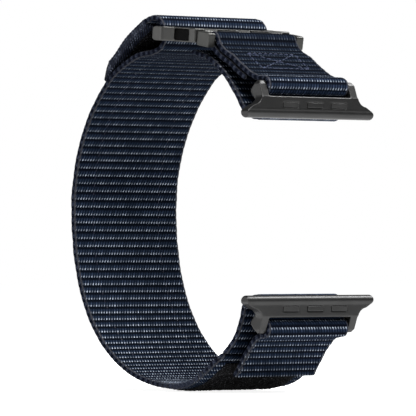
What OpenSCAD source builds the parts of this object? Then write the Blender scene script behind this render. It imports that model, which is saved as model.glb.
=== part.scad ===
// Ribbed nylon watch and tracker band: a long hook-and-loop strap, a short strap, a slotted
// buckle frame with a hinged clasp block, and two slide-in lugs with sprung latches.
// The loop stands upright: +X points to the watch side, +Y runs across the strap, +Z is up.
// The origin is the centre of the wrist opening.

/* [Strap] */
// Width of the long strap around the wrist
strap_w = 29; // [26:0.5:29]
// Width of both straps where they pass through the lugs
lug_strap_w = 22; // [18:0.5:22]
// Thickness of the ribbed webbing
web_t = 1.3; // [1.1:0.05:1.3]
// Half of the loop's outside depth, towards and away from the watch
loop_half_depth = 41.3; // [40:0.1:41.5]
// Half of the loop's outside height
loop_half_height = 38.7; // [38.2:0.1:39]
// How much fuller than an oval the loop is, low on the side away from the watch
loop_fullness = 0.067; // [0:0.001:0.067]
// Thickness of the loop pile panel on the outside of the long strap
pile_t = 0.5; // [0.3:0.1:0.5]
// Thickness of the hook patches
hook_t = 0.65; // [0.4:0.05:0.65]

/* [Buckle] */
// Outside width of the frame where the long strap turns round its bar
frame_wide = 31.2; // [31:0.1:33]
// Outside width of the frame and of the clasp block at the short strap
frame_narrow = 26.3; // [26:0.1:27]
// Height of the frame and of the clasp block
frame_h = 3.1; // [2.9:0.1:3.3]
// Radius of the bar that the long strap turns round
frame_bar_r = 1.1; // [0.9:0.05:1.1]
// Radius of the bar that the short strap turns round
clasp_bar_r = 0.6; // [0.5:0.05:0.6]
// Radius of the hinge pin between the frame and the clasp block
pin_r = 0.3; // [0.25:0.05:0.35]

/* [Lugs] */
// Length of each lug's slide bar
lug_l = 34.6; // [33:0.2:36]
// Radius of the slide bar's rounded edge
slide_r = 1.25; // [1.2:0.05:1.25]
// Radius of the bar that the strap turns round
lug_bar_r = 0.8; // [0.7:0.05:0.8]
// How far the latch button moves when it is pressed
latch_travel = 0.5; // [0.3:0.05:0.5]
// How far the latch and pads sit from the middle of the lug
pad_shift = 1.2; // [0:0.1:1.5]

/* [Hidden] */
$fn = 48;

gap = 0.05;              // clearance between a strap and the bar it turns round
point_step = 1.2;        // spacing of the points along a strap
half_t = web_t / 2;
ring_a = loop_half_depth - half_t;
ring_b = loop_half_height - half_t;
pile_w = strap_w - 6;
binding_t = min(pile_t, hook_t);
rest_gap = 0.15;         // clearance between the closed tail and the strap that it lies on

// Places, as [x, z], of everything that turns about an axis along Y
frame_bar_at = [-9.2, 37.95];
hinge_at = [2.2, 37.7];
clasp_bar_at = [5.5, 36];
upper_bar_at = [22.9, 25.8];
tail_hinge_at = [-13.4, 40.9];
tongue_hinge_at = [20.4, -27.75];
frame_tilt = 4.6;
clasp_tilt = 10;

// Lug section, as x or z distances
lug_front = 25.5;
lug_back = 23.1;
slide_at = [25.7 - slide_r, 18.75 + slide_r];
plate_top = 23.5;
pad_z = 21.65;
pad_half_h = 0.6;
pad_half_l = 2.2;
slot_half_w = lug_strap_w / 2 + 0.2;
// Latch section: the button's flange, and the leaf spring's room behind it
flange_back = 24.45;
flange_t = 0.5;
spring_t = 0.05;
spring_room = latch_travel + 0.3;
spring_back = flange_back - gap - spring_room;

// Points along an arc, a mirrored copy of a path, and a path run backwards
function arc_points(at, r, from, to, n) =
    [for (i = [0:n]) at + r * [cos(from + (to - from) * i / n), sin(from + (to - from) * i / n)]];
function flipped(path) = [for (p = path) [p[0], -p[1]]];
function backwards(path) = [for (i = [len(path) - 1:-1:0]) path[i]];

// A point between b and c of the smooth curve through a, b, c and d
function spacing(a, b) = sqrt(norm(b - a));
function blended(a, b, t, from, to) = ((to - t) * a + (t - from) * b) / (to - from);
function curve_point(a, b, c, d, u) =
    let (t1 = spacing(a, b), t2 = t1 + spacing(b, c), t3 = t2 + spacing(c, d), t = t1 + (t2 - t1) * u)
    let (ab = blended(a, b, t, 0, t1), bc = blended(b, c, t, t1, t2), cd = blended(c, d, t, t2, t3))
    blended(blended(ab, bc, t, 0, t2), blended(bc, cd, t, t1, t3), t, t1, t2);
// The smooth curve through all knots but the first and last, which only set its end directions
function smooth(knots) = concat(
    [for (i = [1:len(knots) - 3])
        let (n = ceil(norm(knots[i + 1] - knots[i]) / point_step))
        for (j = [0:n - 1]) curve_point(knots[i - 1], knots[i], knots[i + 1], knots[i + 2], j / n)],
    [knots[len(knots) - 2]]);

// Sideways direction of a path at point i, and the path moved sideways by d
function side_of(path, i) =
    let (a = path[max(i - 1, 0)], b = path[min(i + 1, len(path) - 1)], along = (b - a) / norm(b - a))
    [-along[1], along[0]];
function moved(path, d) = [for (i = [0:len(path) - 1]) path[i] + d * side_of(path, i)];

// A strip between two sideways distances of a path, of a given width across the strap
module strip(path, low, high, width) {
    rotate([90, 0, 0])
        linear_extrude(height = width, center = true)
            polygon(concat(moved(path, high), backwards(moved(path, low))));
}

// A cylinder along Y at [x, z]
module rod(at, r, y0, y1) {
    translate([at[0], y1, at[1]])
        rotate([90, 0, 0])
            cylinder(r = r, h = y1 - y0);
}

// A slab along X with a rounded outline in Y and Z
module pad_slab(x0, x1, half_l, half_h, r) {
    translate([x0, -half_l, -half_h + r])
        cube([x1 - x0, 2 * half_l, 2 * (half_h - r)]);
    translate([x0, -half_l + r, -half_h])
        cube([x1 - x0, 2 * (half_l - r), 2 * half_h]);
    for (y = [-1, 1])
        for (z = [-1, 1])
            translate([x0, y * (half_l - r), z * (half_h - r)])
                rotate([0, 90, 0])
                    cylinder(r = r, h = x1 - x0, $fn = 24);
}

// One short stitch on a strap's outside, at distance i along its path, turned by a slant
module stitch(path, i, y, lift, length, slant) {
    k = min(floor(i), len(path) - 2);
    at = path[k] + (i - k) * (path[k + 1] - path[k]) + lift * side_of(path, k);
    along = path[k + 1] - path[k];
    translate([at[0], y, at[1]])
        rotate([0, -atan2(along[1], along[0]), 0])
            rotate([0, 0, slant])
                cube([length, 0.28, 0.24], center = true);
}

// The strap's way round a lug's bar, behind the plate and round the slide bar's back, for the upper lug
wrap_r = lug_bar_r + gap + half_t;
bend_r = 2.6;
bend_at = upper_bar_at + (wrap_r + bend_r) * [cos(-60), sin(-60)];
turn_r = 1.75;
turn_at = [bend_at[0] - bend_r - turn_r, 19.15 + turn_r];
lug_turn = concat(
    arc_points(upper_bar_at, wrap_r, 90, -60, 12),
    arc_points(bend_at, bend_r, 128, 180, 4),
    arc_points(turn_at, turn_r, 0, -90, 7));

// Knots of the long strap, from the tongue's hinge round the wrist to the tail's hinge
lower_run = [[18.1, -19.65], [16.1, -21.2], [15.4, -23.3], [14, -26.4], [11.4, -31.9], [6.6, -35.3], [2.6, -37.4]];
function fullness(a) = a < 180 ? 1 : 1 + loop_fullness * pow(sin((a - 180) * 180 / 102), 2);
ring_run = [for (a = [267:-6:128]) fullness(a) * [ring_a * cos(a), ring_b * sin(a)]];
upper_run = [[-16.9, 33.3], [-11.6, 33.9], [-9, 34.7], [-7.6, 36.1], [-7.4, 37.9], [-7.75, 39.1], [-8.5, 40.3],
    [-9.8, 41.15], [-11.8, 41.35]];
loop_knots = concat([[19, -28.5]], [tongue_hinge_at, [21.8, -27.35]], flipped(lug_turn), lower_run, ring_run,
    upper_run, [tail_hinge_at], [[-16, 39.5]]);
loop_path = smooth(loop_knots);
// The pile panel covers the long strap from behind the tongue's end to the buckle
pile_path = [for (p = loop_path) if (p[0] < (p[1] < 0 ? 10.3 : -13.5)) p];

// Knots of the tail flap, from its hinge to the taper at its end
tail_lie = half_t + pile_t + rest_gap + hook_t + half_t;
tail_end_run = [for (a = [125, 128, 131]) [(ring_a + tail_lie) * cos(a), (ring_b + tail_lie) * sin(a)]];
tail_path = smooth(concat([[-11.8, 41.35], tail_hinge_at, [-16, 39.6], [-20.8, 36.75]], tail_end_run));
tail_patch_path = smooth(concat([tail_hinge_at, [-14.4, 40.45], [-16, 39.6], [-20.8, 36.75]], tail_end_run));

// Knots of the tongue, from its hinge to its free end
tongue_path = smooth([[21.8, -27.35], tongue_hinge_at, [19.1, -28.7], [16.7, -31.1], [14.5, -33.9],
    [12.7, -36.2], [11.5, -37.7]]);

// Knots of the short strap, from its turned-back end round the clasp bar and the lug to the comfort end
cover_run = [[7.35, 35.2], [8.7, 33.8], [12.2, 32.05], [14.2, 30.7], [18.4, 28.3], [20.6, 27.5]];
clasp_loop = arc_points(clasp_bar_at, clasp_bar_r + gap + half_t, -130, -330, 13);
turned_end = [for (p = [[17.4, 28.85], [14.2, 30.7], [12.2, 32.05], [8.7, 33.8]]) p - (web_t + 0.2) * [0.48, 0.88]];
comfort_run = [[18.1, 19.65], [15.75, 21.15], [13.4, 24.4], [8.35, 29.4], [3.45, 32.4], [1, 33.05], [-1.8, 33.8],
    [-3, 34]];
short_knots = concat([[18.4, 26.4]], turned_end, clasp_loop, cover_run, lug_turn, comfort_run);
short_path = smooth(short_knots);
cover_path = smooth(cover_run);

module loop_strap() {
    color([0.06, 0.08, 0.14])
        difference() {
            strip([for (i = [1:len(loop_path) - 2]) loop_path[i]], -half_t, half_t, strap_w);
            // narrower where it passes through the lug
            for (s = [-1, 1])
                scale([1, s, 1]) {
                    translate([5, 0, 0])
                        rotate([90, 0, 90])
                            linear_extrude(height = 25)
                                polygon([[lug_strap_w / 2, -10], [lug_strap_w / 2, -26], [strap_w / 2, -34],
                                    [strap_w / 2 + 1, -34], [strap_w / 2 + 1, -10]]);
                    translate([18.5, lug_strap_w / 2, -30])
                        cube([10, strap_w / 2, 20]);
                }
        }
}

module pile_panel() {
    color([0.02, 0.02, 0.03])
        strip(pile_path, half_t, half_t + pile_t, pile_w);
}

// A flap starts with a round nose on its hinge axis, so that it turns clear of the strap.
// Each flap's path runs away from its bar: the tail's inner side is then the left-hand one,
// and the tongue's is the right-hand one.
module flap(path, hinge, width) {
    strip(path, -half_t, half_t, width);
    rod(hinge, half_t, -width / 2, width / 2);
}

module tail_flap() {
    color([0.06, 0.08, 0.14])
        flap(tail_path, tail_hinge_at, strap_w);
}

module tail_edge_binding() {
    width = (strap_w - pile_w) / 2 - 0.3;
    color([0.05, 0.06, 0.11])
        for (s = [-1, 1])
            translate([0, s * (strap_w - width) / 2, 0])
                strip(tail_patch_path, half_t, half_t + binding_t, width);
}

module tail_hook_patch() {
    color([0.02, 0.02, 0.03])
        strip(tail_patch_path, half_t, half_t + hook_t, pile_w);
}

module tail_tip() {
    last = len(tail_path) - 1;
    top = tail_path[last] - half_t * side_of(tail_path, last);
    under = tail_path[last] + (half_t + hook_t) * side_of(tail_path, last);
    lie = half_t + pile_t + rest_gap;
    resting = [for (a = [129.8:1:134]) [(ring_a + lie) * cos(a), (ring_b + lie) * sin(a)]];
    color([0.06, 0.08, 0.14])
        rotate([90, 0, 0])
            linear_extrude(height = strap_w, center = true)
                polygon(concat([top, under], resting, [resting[len(resting) - 1] + [-0.25, 0.25]]));
}

module tail_bar_tacks() {
    tack_w = 2.5;
    tack_at = [-11.6, 41.35 + half_t];
    color([0.07, 0.09, 0.17])
        for (y = [-9, 9])
            difference() {
                rod(tack_at - [0, 0.6], 1, y - tack_w / 2, y + tack_w / 2);
                translate([tack_at[0], y, tack_at[1] - 1])
                    rotate([0, 3, 0])
                        cube([4, tack_w + 1, 2], center = true);
            }
}

module tongue() {
    color([0.06, 0.08, 0.14])
        flap(tongue_path, tongue_hinge_at, lug_strap_w);
}

module tongue_hook_patch() {
    patch = [for (i = [5:len(tongue_path) - 2]) tongue_path[i]];
    color([0.02, 0.02, 0.03])
        strip(patch, -half_t, -half_t - hook_t, lug_strap_w - 3);
}

module tongue_stitching() {
    color([0.2, 0.22, 0.27])
        for (s = [-1, 1])
            for (i = [2:1:len(tongue_path) - 2])
                stitch(tongue_path, i, s * (lug_strap_w / 2 - 0.7), half_t, 0.7, 0);
}

// The buckle frame, laid flat about its strap bar: x runs to the clasp, z is up
module frame_flat() {
    wide = frame_wide / 2;
    narrow = frame_narrow / 2;
    window = strap_w / 2 + 0.2;
    rail = narrow - 1.5;
    half_h = frame_h / 2;
    right = hinge_at[0] - frame_bar_at[0] - 0.1;
    half = [[right, narrow - 0.15], [right - 0.15, narrow], [4.3, narrow], [3.95, narrow + 0.15], [3.3, wide - 1],
        [3, wide - 0.35], [2.6, wide - 0.07], [2.3, wide], [-0.6, wide], [-1.1, wide - 0.5]];
    difference() {
        intersection() {
            translate([0, 0, -half_h])
                linear_extrude(height = frame_h)
                    polygon(concat(half, backwards(flipped(half))));
            rotate([90, 0, 0])
                linear_extrude(height = frame_wide + 2, center = true)
                    union() {
                        translate([half_h - 1.1, 0])
                            circle(r = half_h);
                        translate([half_h - 1.1, -half_h])
                            square([right - half_h + 1.1 - 0.3, frame_h]);
                        translate([half_h - 1.1, -half_h + 0.3])
                            square([right - half_h + 1.1, frame_h - 0.6]);
                        for (z = [-1, 1])
                            translate([right - 0.3, z * (half_h - 0.3)])
                                circle(r = 0.3, $fn = 24);
                    }
        }
        // the opening for the strap
        translate([0, 0, -frame_h])
            linear_extrude(height = 2 * frame_h)
                polygon([[-2, -window], [2.55, -window], [3.75, -rail], [right - 2.2, -rail],
                    [right - 2.2, rail], [3.75, rail], [2.55, window], [-2, window]]);
        // pockets for the side inlays
        for (s = [-1, 1])
            translate([3.9, s * (narrow - 0.3) - 0.3, -1.25])
                cube([5.2, 0.6, 2.5]);
    }
    rod([0, 0], frame_bar_r, -window - 0.3, window + 0.3);
}

knuckle_r = 0.62;
frame_knuckles = [[-10.8, -7.2], [-1.8, 1.8], [7.2, 10.8]];
clasp_knuckles = [[-7.1, -1.9], [1.9, 7.1]];

module buckle_frame() {
    color([0.38, 0.38, 0.38])
        difference() {
            union() {
                translate([frame_bar_at[0], 0, frame_bar_at[1]])
                    rotate([0, frame_tilt, 0])
                        frame_flat();
                for (k = frame_knuckles)
                    rod(hinge_at, knuckle_r, k[0], k[1]);
            }
            for (k = clasp_knuckles)
                rod(hinge_at, knuckle_r + 0.1, k[0] - 0.1, k[1] + 0.1);
            rod(hinge_at, pin_r + 0.005, -12, 12);
        }
}

module side_inlays() {
    narrow = frame_narrow / 2;
    color([0.1, 0.1, 0.1])
        translate([frame_bar_at[0], 0, frame_bar_at[1]])
            rotate([0, frame_tilt, 0])
                for (s = [-1, 1])
                    translate([3.91, s * (narrow - 0.35) - 0.24, -1.24])
                        cube([5.18, 0.48, 2.48]);
}

module hinge_pin() {
    color([0.5, 0.5, 0.5])
        rod(hinge_at, pin_r, -10.8, 10.8);
}

// The clasp block, laid flat about its strap bar: x runs to the short strap
module clasp_flat() {
    narrow = frame_narrow / 2;
    low = -1.5;
    high = low + frame_h;
    difference() {
        rotate([90, 0, 0])
            linear_extrude(height = frame_narrow, center = true)
                polygon([[-2.7, low + 0.2], [-2.5, low], [1.1, low], [1.3, low + 0.2],
                    [1.3, high - 0.3], [1, high], [-2.5, high], [-2.7, high - 0.2]]);
        translate([-2, -slot_half_w, -4])
            cube([6, 2 * slot_half_w, 8]);
        rod([0, 0], clasp_bar_r + 0.005, -slot_half_w - 1.2, slot_half_w + 1.2);
    }
}

module clasp_block() {
    color([0.4, 0.4, 0.4])
        difference() {
            union() {
                translate([clasp_bar_at[0], 0, clasp_bar_at[1]])
                    rotate([0, clasp_tilt, 0])
                        clasp_flat();
                for (k = clasp_knuckles) {
                    rod(hinge_at, knuckle_r, k[0], k[1]);
                    translate([hinge_at[0], k[0], hinge_at[1] - knuckle_r + 0.1])
                        cube([1, k[1] - k[0], 1]);
                }
            }
            for (k = frame_knuckles)
                rod(hinge_at, knuckle_r + 0.1, k[0] - 0.1, k[1] + 0.1);
            rod(hinge_at, pin_r + 0.04, -12, 12);
        }
}

module clasp_bar() {
    color([0.5, 0.5, 0.5])
        rod(clasp_bar_at, clasp_bar_r, -slot_half_w - 1.15, slot_half_w + 1.15);
}

module short_strap() {
    color([0.06, 0.08, 0.14])
        strip(short_path, -half_t, half_t, lug_strap_w);
}

// A sewn box with a cross in it, on the outside of the short strap
module box_stitching() {
    last = len(cover_path) - 1;
    from = 2.5;
    to = last - 1.5;
    half_w = 6.5;
    count = 10;
    color([0.13, 0.16, 0.4]) {
        for (k = [0:count - 1]) {
            i = from + (to - from) * (k + 0.5) / count;
            y = half_w * (2 * (k + 0.5) / count - 1);
            for (s = [-1, 1]) {
                stitch(cover_path, i, s * half_w, half_t, 0.8, 0);
                stitch(cover_path, i, s * y, half_t, 1.3, s * 52);
            }
            for (end = [from, to])
                stitch(cover_path, end, y, half_t, 1, 90);
        }
    }
}

// One lug in the upper place: plate, rounded slide bar, leaning arms and the strap's bar
module lug() {
    half_l = lug_l / 2;
    arm_y = slot_half_w + 1.9;
    // half of the outline seen from the watch side, as [y, z]
    front_half = [[half_l - 0.45, 18], [half_l, 19.3], [half_l, 20.1], [half_l - 0.35, 20.6], [arm_y + 1.9, 21.75],
        [arm_y + 1.4, 23.7], [arm_y, 23.7], [arm_y, 26], [arm_y - 0.6, 27.2]];
    difference() {
        intersection() {
            // the outline from the front, with the narrowing ends
            translate([20, 0, 0])
                rotate([90, 0, 90])
                    linear_extrude(height = 7)
                        difference() {
                            polygon(concat(front_half, [for (p = backwards(front_half)) [-p[0], p[1]]]));
                            for (s = [-1, 1])
                                translate([s * (arm_y + 2.45), 24])
                                    circle(r = 2.45, $fn = 64);
                        }
            union() {
                // plate with a round top edge at its back
                rotate([90, 0, 0])
                    linear_extrude(height = lug_l + 2, center = true)
                        polygon(concat([[lug_back, 20]], [[lug_back, bend_at[1] + 0.2]],
                            arc_points([bend_at[0], bend_at[1]], bend_at[0] - lug_back, 170,
                                180 - asin((plate_top - bend_at[1]) / (bend_at[0] - lug_back)), 4),
                            [[lug_front - 0.2, plate_top], [lug_front, plate_top - 0.2], [lug_front, 20]]));
                rod(slide_at, slide_r, -half_l - 1, half_l + 1);
                // arms that lean back to the strap's bar
                for (s = [-1, 1])
                    translate([0, s * (slot_half_w + arm_y) / 2, 0])
                        rotate([90, 0, 0])
                            linear_extrude(height = arm_y - slot_half_w, center = true)
                                polygon([[lug_back, 20.5], [lug_front, 20.5], [lug_front, 23.2],
                                    [24.3, 26.2], [23.7, 26.8], [23.1, 26.9], [21.3, 25], [21.2, 24.4],
                                    [22.9, 22.5]]);
                rod(upper_bar_at, lug_bar_r, -slot_half_w - 0.5, slot_half_w + 0.5);
            }
        }
        // pocket for the latch, open at the back
        translate([0, pad_shift, pad_z]) {
            pad_slab(25, 26, pad_half_l, pad_half_h, 0.3);
            translate([22.5, -pad_half_l - 0.5, -pad_half_h])
                cube([2.5, 2 * pad_half_l + 1, 2 * pad_half_h]);
            // shallow pockets for the side pads
            for (y = [-6.6, 6.6])
                translate([0, y, 0])
                    pad_slab(lug_front - 0.5, 26, pad_half_l, pad_half_h, 0.3);
        }
    }
}

module latch_button() {
    translate([0, pad_shift, pad_z]) {
        pad_slab(flange_back + 0.45, lug_front + 0.1, pad_half_l - 0.05, pad_half_h - 0.05, 0.3);
        translate([flange_back, -pad_half_l - 0.4, -pad_half_h + 0.05])
            cube([flange_t, 2 * pad_half_l + 0.8, 2 * pad_half_h - 0.1]);
    }
}

// A bowed leaf spring between the retainer and the button
module latch_spring() {
    rise = (spring_room - spring_t - 0.03) / 2;
    bow = [for (a = [-90:15:90]) [spring_back + spring_t + 0.01 + rise * (1 + cos(2 * a)), 2.3 * a / 90]];
    translate([0, pad_shift, pad_z - 0.4])
        linear_extrude(height = 0.8)
            polygon(concat(bow, [for (p = backwards(bow)) p - [spring_t, 0]]));
}

module latch_retainer() {
    translate([lug_back + 0.02, pad_shift - pad_half_l - 0.49, pad_z - pad_half_h + 0.01])
        cube([spring_back - lug_back - 0.04, 2 * pad_half_l + 0.98, 2 * pad_half_h - 0.02]);
}

module side_pads() {
    translate([0, pad_shift, pad_z])
        for (y = [-6.6, 6.6])
            translate([0, y, 0])
                pad_slab(lug_front - 0.49, lug_front + 0.05, pad_half_l - 0.04, pad_half_h - 0.04, 0.28);
}

module upper_lug() {
    color([0.21, 0.21, 0.21]) lug();
}

module upper_latch_button() {
    color([0.24, 0.24, 0.24]) latch_button();
}

module upper_latch_spring() {
    color([0.6, 0.6, 0.6]) latch_spring();
}

module upper_latch_retainer() {
    color([0.3, 0.3, 0.3]) latch_retainer();
}

module upper_side_pads() {
    color([0.2, 0.2, 0.2]) side_pads();
}

module lower_lug() {
    mirror([0, 0, 1]) upper_lug();
}

module lower_latch_button() {
    mirror([0, 0, 1]) upper_latch_button();
}

module lower_latch_spring() {
    mirror([0, 0, 1]) upper_latch_spring();
}

module lower_latch_retainer() {
    mirror([0, 0, 1]) upper_latch_retainer();
}

module lower_side_pads() {
    mirror([0, 0, 1]) upper_side_pads();
}

loop_strap();
pile_panel();
tail_flap();
tail_edge_binding();
tail_hook_patch();
tail_tip();
tail_bar_tacks();
tongue();
tongue_hook_patch();
tongue_stitching();
buckle_frame();
side_inlays();
hinge_pin();
clasp_block();
clasp_bar();
short_strap();
box_stitching();
upper_lug();
upper_latch_button();
upper_latch_spring();
upper_latch_retainer();
upper_side_pads();
lower_lug();
lower_latch_button();
lower_latch_spring();
lower_latch_retainer();
lower_side_pads();
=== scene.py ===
"""The looks of a ribbed nylon watch and tracker band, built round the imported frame.

Lengths here are millimetres in the frame's axes, and add_mesh() turns them into metres. A path is a list of
[x, z] points, because everything in the band runs straight across it, along Y.
"""
import math

import bmesh
import bpy
import numpy as np
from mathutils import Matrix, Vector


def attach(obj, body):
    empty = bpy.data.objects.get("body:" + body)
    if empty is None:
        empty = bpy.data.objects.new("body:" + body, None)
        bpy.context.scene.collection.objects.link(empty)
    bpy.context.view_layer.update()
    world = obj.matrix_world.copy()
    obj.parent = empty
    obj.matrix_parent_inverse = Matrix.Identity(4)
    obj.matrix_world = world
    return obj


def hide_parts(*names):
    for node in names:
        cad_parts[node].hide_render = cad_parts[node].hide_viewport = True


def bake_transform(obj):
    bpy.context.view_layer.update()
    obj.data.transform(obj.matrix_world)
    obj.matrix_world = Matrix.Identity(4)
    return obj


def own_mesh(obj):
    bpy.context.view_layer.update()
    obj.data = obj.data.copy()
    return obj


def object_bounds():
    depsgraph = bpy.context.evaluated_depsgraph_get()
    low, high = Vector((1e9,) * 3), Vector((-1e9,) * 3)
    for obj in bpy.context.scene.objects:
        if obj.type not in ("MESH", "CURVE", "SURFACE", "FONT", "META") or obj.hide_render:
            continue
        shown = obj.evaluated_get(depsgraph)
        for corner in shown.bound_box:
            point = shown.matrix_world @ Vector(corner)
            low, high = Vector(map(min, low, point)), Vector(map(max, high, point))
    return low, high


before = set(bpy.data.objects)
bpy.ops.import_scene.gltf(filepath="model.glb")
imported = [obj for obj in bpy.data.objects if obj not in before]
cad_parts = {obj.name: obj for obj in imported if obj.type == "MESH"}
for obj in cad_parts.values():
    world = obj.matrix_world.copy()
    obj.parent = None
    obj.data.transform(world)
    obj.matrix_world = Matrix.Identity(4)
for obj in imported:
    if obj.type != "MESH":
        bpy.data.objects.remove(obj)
cad_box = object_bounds()
random = np.random.default_rng(7)

MM = 0.001
RIB = 1.78               # from one rib of the webbing to the next, along the strap
YARN = 0.73              # from one yarn to the next, across the strap
SLANT = 1                # how many yarns each yarn leans over by in one rib
STRAP_W, LUG_STRAP_W = 29, 22
HALF_T = 0.65            # half the webbing's thickness at the top of a rib
PILE_T, HOOK_T = 0.5, 0.65
REST_GAP, GAP = 0.15, 0.05
RING_A, RING_B = 40.65, 38.05
BINDING_T = 0.5
BINDING_OUT = 0.06       # how far the edge binding and the tail's tip stand out past the webbing
PILE_W = STRAP_W - 6

CLASP_BAR_AT, UPPER_BAR_AT = [5.5, 36], [22.9, 25.8]
TAIL_HINGE_AT, TONGUE_HINGE_AT = [-13.4, 40.9], [20.4, -27.75]


# ---------------------------------------------------------------- paths

def arc(at, r, start, end, count):
    turns = [math.radians(start + (end - start) * i / count) for i in range(count + 1)]
    return [[at[0] + r * math.cos(t), at[1] + r * math.sin(t)] for t in turns]


def flipped(path):
    return [[x, -z] for x, z in path]


def smooth(knots, step=0.3):
    """The smooth curve through all knots but the first and last, which only set its end directions."""
    knots = np.array(knots, float)
    points = []
    for i in range(1, len(knots) - 2):
        a, b, c, d = knots[i - 1:i + 3]
        t1 = math.sqrt(math.dist(a, b))
        t2 = t1 + math.sqrt(math.dist(b, c))
        t3 = t2 + math.sqrt(math.dist(c, d))
        count = math.ceil(math.dist(b, c) / step)
        for t in t1 + (t2 - t1) * np.arange(count) / count:
            ab = ((t1 - t) * a + t * b) / t1
            bc = ((t2 - t) * b + (t - t1) * c) / (t2 - t1)
            cd = ((t3 - t) * c + (t - t2) * d) / (t3 - t2)
            abc = ((t2 - t) * ab + t * bc) / t2
            bcd = ((t3 - t) * bc + (t - t1) * cd) / (t3 - t1)
            points.append(((t2 - t) * abc + (t - t1) * bcd) / (t2 - t1))
    return np.array(points + [knots[-2]])


class Path:
    """A smooth curve that can be read at any distance along it."""

    def __init__(self, points):
        self.points = np.array(points, float)
        gaps = np.linalg.norm(np.diff(self.points, axis=0), axis=1)
        self.at = np.concatenate([[0], np.cumsum(gaps)])
        self.length = self.at[-1]

    def point(self, s):
        """Points at the distances s, and straight on past either end."""
        s = np.asarray(s, float)
        inside = np.clip(s, 0, self.length)
        x, z = (np.interp(inside, self.at, self.points[:, k]) for k in (0, 1))
        first = self.points[1] - self.points[0]
        last = self.points[-1] - self.points[-2]
        ends = np.where((s < 0)[..., None], first / np.linalg.norm(first), last / np.linalg.norm(last))
        return np.stack([x, z], -1) + (s - inside)[..., None] * ends

    def side(self, s, reach=0.25):
        """The left-hand direction at the distances s."""
        s = np.asarray(s, float)
        along = self.point(s + reach) - self.point(s - reach)
        along /= np.linalg.norm(along, axis=-1, keepdims=True)
        return np.stack([-along[..., 1], along[..., 0]], -1)

    def nearest(self, x, z):
        """The distance along the path of its point nearest to [x, z]."""
        return self.at[np.argmin(np.hypot(self.points[:, 0] - x, self.points[:, 1] - z))]


LUG_BAR_R = 0.8
WRAP_R = LUG_BAR_R + GAP + HALF_T      # of the webbing's middle round a lug's bar
BEND_R, TURN_R = 2.6, 1.75
BEND_AT = [UPPER_BAR_AT[0] + (WRAP_R + BEND_R) * math.cos(math.radians(-60)),
           UPPER_BAR_AT[1] + (WRAP_R + BEND_R) * math.sin(math.radians(-60))]
TURN_AT = [BEND_AT[0] - BEND_R - TURN_R, 19.15 + TURN_R]
LUG_TURN = arc(UPPER_BAR_AT, WRAP_R, 90, -60, 12) + arc(BEND_AT, BEND_R, 128, 180, 4) \
    + arc(TURN_AT, TURN_R, 0, -90, 7)

LOWER_RUN = [[18.1, -19.65], [16.1, -21.2], [15.4, -23.3], [14, -26.4], [11.4, -31.9], [6.6, -35.3],
             [2.6, -37.4]]

FULLNESS = 0.067         # how much fuller than an oval the loop is, between these angles
FULL_FROM, FULL_TO = 180, 282


def ring_point(angle, lie=0):
    """A point of the wrist loop, or of what lies a distance outside it."""
    turn = math.radians(angle)
    share = max(0, (angle - FULL_FROM) / (FULL_TO - FULL_FROM))
    full = 1 + FULLNESS * math.sin(math.pi * share) ** 2
    return [full * (RING_A + lie) * math.cos(turn), full * (RING_B + lie) * math.sin(turn)]


RING_RUN = [ring_point(a) for a in range(267, 128, -6)]
UPPER_RUN = [[-16.9, 33.3], [-11.6, 33.9], [-9, 34.7], [-7.6, 36.1], [-7.4, 37.9], [-7.75, 39.1],
             [-8.5, 40.3], [-9.8, 41.15], [-11.8, 41.35]]
loop_path = Path(smooth([[19, -28.5], TONGUE_HINGE_AT, [21.8, -27.35]] + flipped(LUG_TURN) + LOWER_RUN
                        + RING_RUN + UPPER_RUN + [TAIL_HINGE_AT, [-16, 39.5]]))

TAIL_LIE = HALF_T + PILE_T + REST_GAP + HOOK_T + HALF_T
TAIL_END_RUN = [ring_point(a, TAIL_LIE) for a in (125, 128, 131)]
tail_path = Path(smooth([[-11.8, 41.35], TAIL_HINGE_AT, [-16, 39.6], [-20.8, 36.75]] + TAIL_END_RUN))
tongue_path = Path(smooth([[21.8, -27.35], TONGUE_HINGE_AT, [19.1, -28.7], [16.7, -31.1], [14.5, -33.9],
                           [12.7, -36.2], [11.5, -37.7]]))

COVER_RUN = [[7.35, 35.2], [8.7, 33.8], [12.2, 32.05], [14.2, 30.7], [18.4, 28.3], [20.6, 27.5]]
CLASP_BAR_R = 0.6
CLASP_LOOP = arc(CLASP_BAR_AT, CLASP_BAR_R + GAP + HALF_T, -130, -330, 13)
UNDER = 2 * HALF_T + 0.2     # how far the turned end lies under the cover
TURNED_END = [[x - UNDER * 0.48, z - UNDER * 0.88] for x, z in
              [[17.4, 28.85], [14.2, 30.7], [12.2, 32.05], [8.7, 33.8]]]
COMFORT_RUN = [[18.1, 19.65], [15.75, 21.15], [13.4, 24.4], [8.35, 29.4], [3.45, 32.4], [1, 33.05],
               [-1.8, 33.8], [-3, 34]]
short_path = Path(smooth([[18.4, 26.4]] + TURNED_END + CLASP_LOOP + COVER_RUN + LUG_TURN + COMFORT_RUN))


# ---------------------------------------------------------------- materials

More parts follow.
